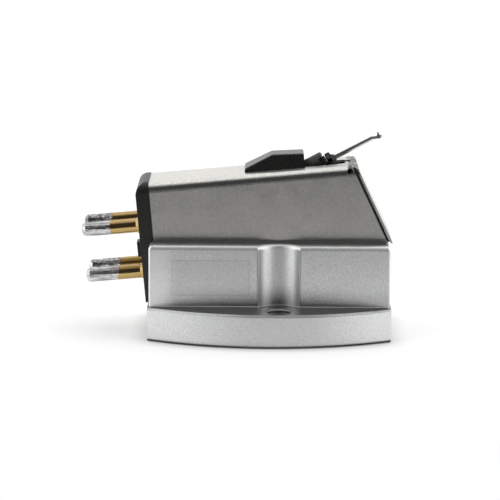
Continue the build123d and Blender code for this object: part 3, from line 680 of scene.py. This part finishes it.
# %% Rubber and lacquer
tree, shader = new_finish("damper", Metallic=0.0)
pores = placed(tree, grain, {"Per mm": 14.0, "Detail": 3.0, "Soft": 0.3})
colour = mix_colour(tree, pores, (0.012, 0.012, 0.012), (0.03, 0.03, 0.029))
feed(tree, shader, Base_Color=colour, Roughness=mix_value(tree, pores, 0.85, 0.65))
bump(tree, shader, pores, depth=0.00001)

tree, shader = new_finish("former", Metallic=0.3)
spots = placed(tree, grain, {"Per mm": 8.0, "Detail": 3.0, "Soft": 0.3})
edge = placed(tree, paling, {"Radius": 0.00004})
colour = mix_colour(tree, spots, (0.018, 0.019, 0.016), (0.045, 0.047, 0.04))
colour = laid_over(tree, colour, edge, 0.4, (0.2, 0.2, 0.18))
feed(tree, shader, Base_Color=colour, Roughness=mix_value(tree, spots, 0.36, 0.5))
print("made:", sorted(finishes))

# %% [markdown]
# ## Enamelled wire and diamond
# The coils and leads are copper wire under dark enamel, which is a thin coat over a metal. The stylus
# is a small diamond. Clear glass would hardly be seen at this size, so it lets only a part of the light
# through, and it has the high index of refraction of diamond.

# %% Enamelled wire and diamond
for slot_name in ("winding", "lead"):
    tree, shader = new_finish(slot_name, Metallic=0.85, Coat_Weight=0.12, Coat_Roughness=0.3)
    tint = placed(tree, grain, {"Per mm": 5.0, "Detail": 2.0, "Soft": 0.3})
    colour = mix_colour(tree, tint, (0.01, 0.008, 0.006), (0.026, 0.02, 0.015))
    feed(tree, shader, Base_Color=colour, Roughness=mix_value(tree, tint, 0.34, 0.46))

tree, shader = new_finish("diamond", Metallic=0.0, Transmission_Weight=0.3, IOR=2.42)
cloud = placed(tree, grain, {"Per mm": 12.0, "Detail": 2.0, "Soft": 0.3})
colour = mix_colour(tree, cloud, (0.03, 0.03, 0.028), (0.08, 0.08, 0.075))
feed(tree, shader, Base_Color=colour, Roughness=mix_value(tree, cloud, 0.02, 0.1))
print("made:", sorted(finishes))

# %% [markdown]
# ## Pieces that are finer than the solids
# The next pieces are mesh, because they are too fine for the solids: the turns of the coils, thin
# black film, the thread in the two screw holes and the bead of cement that holds the diamond. Most of
# them are a strip or a tube swept along a line that is worked out from the frame. One helper joins
# rings of points into a closed tube, and another turns any shape into an object.

# %% Piece helpers
def new_piece(name, shape):
    """A new object from a bmesh shape, with its faces turned outward."""
    bmesh.ops.recalc_face_normals(shape, faces=shape.faces)
    mesh = bpy.data.meshes.new(name)
    shape.to_mesh(mesh)
    shape.free()
    piece = bpy.data.objects.new(name, mesh)
    bpy.context.scene.collection.objects.link(piece)
    return piece


def swept(name, rings):
    """A closed tube of equal rings of points, joined one to the next, with capped ends."""
    shape = bmesh.new()
    sides = len(rings[0])
    made = [[shape.verts.new(point) for point in ring] for ring in rings]
    shape.faces.new(made[0][::-1])
    shape.faces.new(made[-1])
    for ring, after in zip(made, made[1:]):
        for side in range(sides):
            beside = (side + 1) % sides
            shape.faces.new((ring[side], ring[beside], after[beside], after[side]))
    piece = new_piece(name, shape)
    piece.data.shade_smooth()
    return piece


print("piece helpers ready")

# %% [markdown]
# ## Coil turns
# Each channel has two windings on one diagonal of the former. The wire is under 0.04 mm thick. The
# solid is one smooth block, and lines drawn on it by a material would leave its edges straight, so
# the outer layer is one real wire that runs round each arm, a wire's width further out with each turn.

# %% Coil turns
joint_axes = {joint["name"]: Vector(joint["axis"]) for joint in frame["joints"]}
axis_up = joint_axes["cantilever_lateral"].normalized()
axis_way = Vector((0, 1, 0)).cross(axis_up)
WIRE, WIRE_SUNK, WIRE_SIDES, TURN_POINTS = 0.036, 0.3, 6, 24
COIL_REACH, COIL_INNER, COIL_THICK, COIL_WIDE = 0.64, 0.32, 0.46, 0.58
CORNER_POWER = 5.0


def turn_point(share, half_a, half_b):
    """A point of one turn, which is a rectangle with soft corners, by its share of the way round."""
    way = Vector((math.cos(math.tau * share), math.sin(math.tau * share)))
    spread = abs(way.x / half_a) ** CORNER_POWER + abs(way.y / half_b) ** CORNER_POWER
    return way * spread ** (-1 / CORNER_POWER)


def wound_arm(name, heart, arm_way):
    """The outer layer of wire on one arm of the former."""
    beside = arm_way.cross(axis_way)
    turns = int((COIL_REACH - COIL_INNER) / WIRE)
    half_a, half_b = COIL_THICK / 2 - WIRE * WIRE_SUNK, COIL_WIDE / 2 - WIRE * WIRE_SUNK
    rings = []
    for step in range((turns - 1) * TURN_POINTS + 1):
        share = step / TURN_POINTS
        flat = turn_point(share, half_a, half_b)
        out = axis_way * flat.x + beside * flat.y
        middle = heart + (out + arm_way * (COIL_INNER + WIRE * (share + 0.5))) * MM
        ring = []
        for side in range(WIRE_SIDES):
            angle = math.tau * side / WIRE_SIDES
            spoke = out.normalized() * math.cos(angle) + arm_way * math.sin(angle)
            ring.append(middle + spoke * (WIRE / 2 * MM))
        rings.append(ring)
    wire = swept(name, rings)
    wire.data.materials.append(finishes["winding"])
    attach(wire, "moving_system")
    return wire


wires = []
for node_name, lean in (("coil_left", -1), ("coil_right", 1)):
    low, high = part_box(node_name)
    diagonal = (Vector((0, lean, 0)) + axis_up).normalized()
    for end_name, end in (("low", -1), ("high", 1)):
        wires.append(wound_arm(f"{node_name}_wire_{end_name}", (low + high) / 2, diagonal * end))
print("wires:", [wire.name for wire in wires])

# %% [markdown]
# ## Black film
# Two thin black strips beside the cover's foot are painted shade on the block's ledge, and a sheet of
# the same film behind each front seam is painted shade inside it. A modifier could give a flat shape
# its thickness, but one function can thicken the mesh itself and make the piece in the same step.

# %% Black film
black_moulding("film", dark=(0.055, 0.06, 0.056), pale=(0.085, 0.09, 0.085),
               matt=0.5, gloss=0.42, pale_share=0.3, depth=0.000001)


def add_film(name, shape, thickness):
    """A piece of black film from a flat bmesh shape and the way that its thickness goes."""
    raised = bmesh.ops.extrude_face_region(shape, geom=shape.faces[:], use_keep_orig=True)["geom"]
    points = [item for item in raised if isinstance(item, bmesh.types.BMVert)]
    bmesh.ops.translate(shape, vec=thickness, verts=points)
    piece = new_piece(name, shape)
    piece.data.materials.append(finishes["film"])
    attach(piece, "body")
    print(name, "faces:", len(piece.data.polygons))


# %% [markdown]
# ## Shade strips
# The strips of painted shade follow the block's grooves. Drawn outlines would have to repeat the grooves'
# sizes, so the strips are cut from a copy of the block's own top face.

# %% Shade strips
COVER_SIDE, STRIP_SIDE, STRIP_THICK, FLAT_WITHIN = 3.3, 3.85, 0.1, 0.001
block_mesh = frame["nodes"]["mounting_block"].data
strip_level = max(vertex.co.z for vertex in block_mesh.vertices) - FLAT_WITHIN * MM
for side_name, side in (("near", -1), ("far", 1)):
    strip = bmesh.new()
    strip.from_mesh(block_mesh)
    lower = [face for face in strip.faces if min(vertex.co.z for vertex in face.verts) < strip_level]
    bmesh.ops.delete(strip, geom=lower, context="FACES")
    for limit, cut_way in ((COVER_SIDE, -side), (STRIP_SIDE, side)):
        whole = strip.verts[:] + strip.edges[:] + strip.faces[:]
        bmesh.ops.bisect_plane(strip, geom=whole, plane_co=(0, side * limit * MM, 0),
                               plane_no=(0, cut_way, 0), clear_outer=True)
    # black film as painted shade on the ledge beside the cover
    add_film(f"ledge_shade_strip_{side_name}", strip, (0, 0, STRIP_THICK * MM))

# %% [markdown]
# ## Shade behind the seams
# Without a dark sheet of painted shade behind each front seam, light shows through it. The sheet could be
# cut from the cover's side, but one with four corners is enough, measured along the tilted housing and above it.

# %% Shade behind the seams
SEAT, SEAM_SHADE_SIDE, SEAM_SHADE_THICK = Vector((-10.98, 0, BLOCK_TOP)), 2.7, 0.08
SEAM_SHADE_OUTLINE = [(18.18, 4.85), (20.66, -1.87), (20.16, -1.82), (17.68, 4.85)]
seat_along = Vector((math.cos(HOUSING_TILT), 0, math.sin(HOUSING_TILT)))
seat_up = Vector((-math.sin(HOUSING_TILT), 0, math.cos(HOUSING_TILT)))
for side_name, side in (("near", -1), ("far", 1)):
    seam_shade_sheet = bmesh.new()
    corner_seat = SEAT + Vector((0, side * SEAM_SHADE_SIDE, 0))
    corners = [corner_seat + seat_along * a + seat_up * b for a, b in SEAM_SHADE_OUTLINE]
    seam_shade_sheet.faces.new([seam_shade_sheet.verts.new(corner * MM) for corner in corners])
    # black film behind the seam as painted shade
    add_film(f"seam_shade_{side_name}", seam_shade_sheet, (0, -side * SEAM_SHADE_THICK * MM, 0))

# %% [markdown]
# ## Screw thread
# The two mounting holes are tapped. A thread could be a bump in the material, but then the bore would
# keep a smooth edge, so it is a thin ridge that climbs the bore as a helix.

# %% Screw thread
BORE, RIDGE, PITCH, MOUTH, THREAD_POINTS = 1.03, 0.06, 0.45, 0.2, 28
ROOT_SUNK, ROOT_SHARE, CREST_SHARE = 0.01, 0.38, 0.07
climb = FLANGE_TOP - 2 * MOUTH - PITCH
rise = Vector((0, 0, PITCH * ROOT_SHARE))
flat = Vector((0, 0, PITCH * CREST_SHARE))
for side_name, screw_y in (("near", -SCREW_Y), ("far", SCREW_Y)):
    rings = []
    for step in range(int(climb / PITCH * THREAD_POINTS) + 1):
        angle = math.tau * step / THREAD_POINTS
        middle = Vector((0, screw_y, MOUTH + PITCH * (0.5 + step / THREAD_POINTS)))
        out = Vector((math.cos(angle), math.sin(angle), 0))
        root, crest = middle + out * (BORE + ROOT_SUNK), middle + out * (BORE - RIDGE)
        rings.append([(root + rise) * MM, (crest + flat) * MM, (crest - flat) * MM, (root - rise) * MM])
    thread = swept(f"screw_thread_{side_name}", rings)
    thread.data.materials.append(finishes["block"])
    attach(thread, "body")
print("thread turns:", round(climb / PITCH, 1))

# %% [markdown]
# ## Cement bead
# The diamond goes through a hole in the toe and is held by a bead of dark cement. It could be a
# squashed sphere, but cement creeps up the shank and spreads on the metal, so its outline is a short
# profile of heights and radii, turned round the shank with a slight unevenness.

# %% Cement
tree, shader = new_finish("cement", Metallic=0.0, Coat_Weight=0.5, Coat_Roughness=0.2)
cloud = placed(tree, grain, {"Per mm": 9.0, "Detail": 2.0, "Soft": 0.3})
colour = mix_colour(tree, cloud, (0.02, 0.017, 0.014), (0.05, 0.045, 0.038))
feed(tree, shader, Base_Color=colour, Roughness=mix_value(tree, cloud, 0.35, 0.5))
print("cement nodes:", len(tree.nodes))

# %% Cement bead
TOE_TILT, FOOT_WITHIN = math.radians(11.3), 0.01
toe_up = Vector((-math.sin(TOE_TILT), 0, math.cos(TOE_TILT)))
toe_way = Vector((math.cos(TOE_TILT), 0, math.sin(TOE_TILT)))
shank = [Vector(vertex.co) for vertex in frame["nodes"]["stylus"].data.vertices]
lowest = min(point.dot(toe_up) for point in shank)
foot_corners = [point for point in shank if point.dot(toe_up) - lowest < FOOT_WITHIN * MM]
foot = sum(foot_corners, Vector()) / len(foot_corners)
BEAD_PROFILE = [(-0.03, 0.04), (-0.02, 0.09), (0.04, 0.13), (0.24, 0.14), (0.255, 0.16), (0.28, 0.145),
                (0.31, 0.12), (0.34, 0.1), (0.36, 0.085), (0.365, 0.05)]
BEAD_SIDES, BEAD_UNEVEN, BEAD_LOBES, BEAD_TWIST = 24, 0.08, 3, 9
rings = []
for height, radius in BEAD_PROFILE:
    ring = []
    for side in range(BEAD_SIDES):
        angle = math.tau * side / BEAD_SIDES
        swell = 1 + BEAD_UNEVEN * math.sin(BEAD_LOBES * angle + BEAD_TWIST * height)
        out = toe_way * math.cos(angle) + Vector((0, math.sin(angle), 0))
        ring.append(foot + (toe_up * height + out * (radius * swell)) * MM)
    rings.append(ring)
bead = swept("stylus_cement", rings)
bead.data.materials.append(finishes["cement"])
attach(bead, "moving_system")
print("bead at", tuple(round(c, 5) for c in foot))

# %% [markdown]
# ## Dressing the solids
# The finishes are ready, so each solid gets the one that its slot names. The solids keep their meshes
# and places, and only their materials change.

# %% Dress the solids
for node_name, solid in frame["nodes"].items():
    solid.data.materials.clear()
    solid.data.materials.append(finishes[node_slots[node_name]])
print("dressed:", len(frame["nodes"]))
